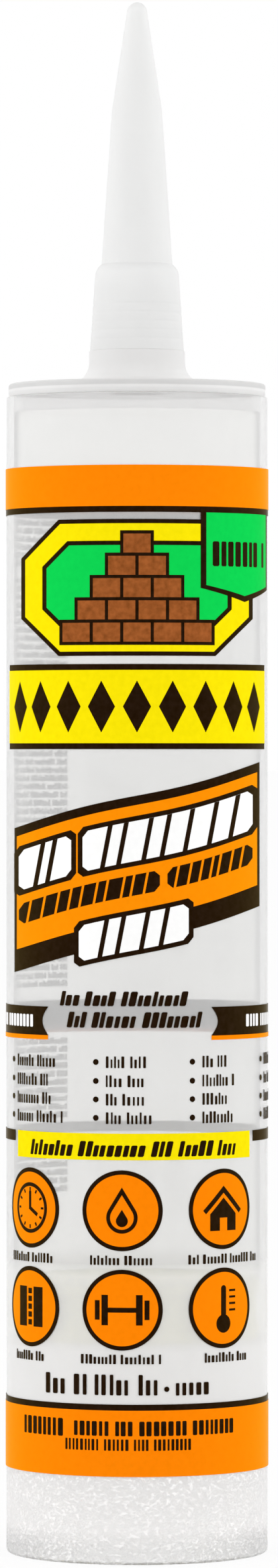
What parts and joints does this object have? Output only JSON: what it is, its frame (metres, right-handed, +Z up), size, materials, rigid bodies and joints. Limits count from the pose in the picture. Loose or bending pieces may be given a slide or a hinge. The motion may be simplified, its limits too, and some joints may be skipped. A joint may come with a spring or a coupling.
{
  "type": "caulk tube",
  "caption": "Translucent caulk and adhesive cartridge with a tapered screw-on nozzle, a sliding piston and a printed clear film sleeve",
  "frame": {"origin": "centre of the open rim that the tube stands on, on the tube's axis, at the rim's plane", "axes": "+Z up along the tube's axis to the nozzle's tip; -Y is the front of the label; +X is to the right of someone who faces the label"},
  "size_m": [0.0494, 0.0494, 0.2905],
  "materials": {
    "translucent_plastic": "satin",
    "nozzle_plastic": "satin",
    "piston_plastic": "matte",
    "clear_gel": "gloss",
    "seal_foil": "satin",
    "clear_film": "gloss",
    "ink_black": "gloss",
    "ink_orange": "gloss",
    "ink_yellow": "gloss",
    "ink_green": "gloss",
    "ink_brown": "gloss",
    "ink_white": "gloss"
  },
  "bodies": {
    "tube": {"barrel": "translucent_plastic", "head": "translucent_plastic", "inner_seal": "seal_foil", "adhesive": "clear_gel", "label_film": "clear_film", "print_black": "ink_black", "print_orange": "ink_orange", "print_yellow": "ink_yellow", "print_green": "ink_green", "print_brown": "ink_brown", "print_white": "ink_white"},
    "piston": {"piston": "piston_plastic"},
    "nozzle": {"nozzle": "nozzle_plastic"}
  },
  "joints": [
    {"name": "piston_slide", "type": "slide", "parent": "tube", "child": "piston", "axis": [0, 0, 1], "range_m": [0, 0.158], "deforming": ["adhesive"]},
    {"name": "nozzle_lift", "type": "slide", "parent": "tube", "child": "nozzle", "axis": [0, 0, 1], "range_m": [0, 0.025]}
  ]
}
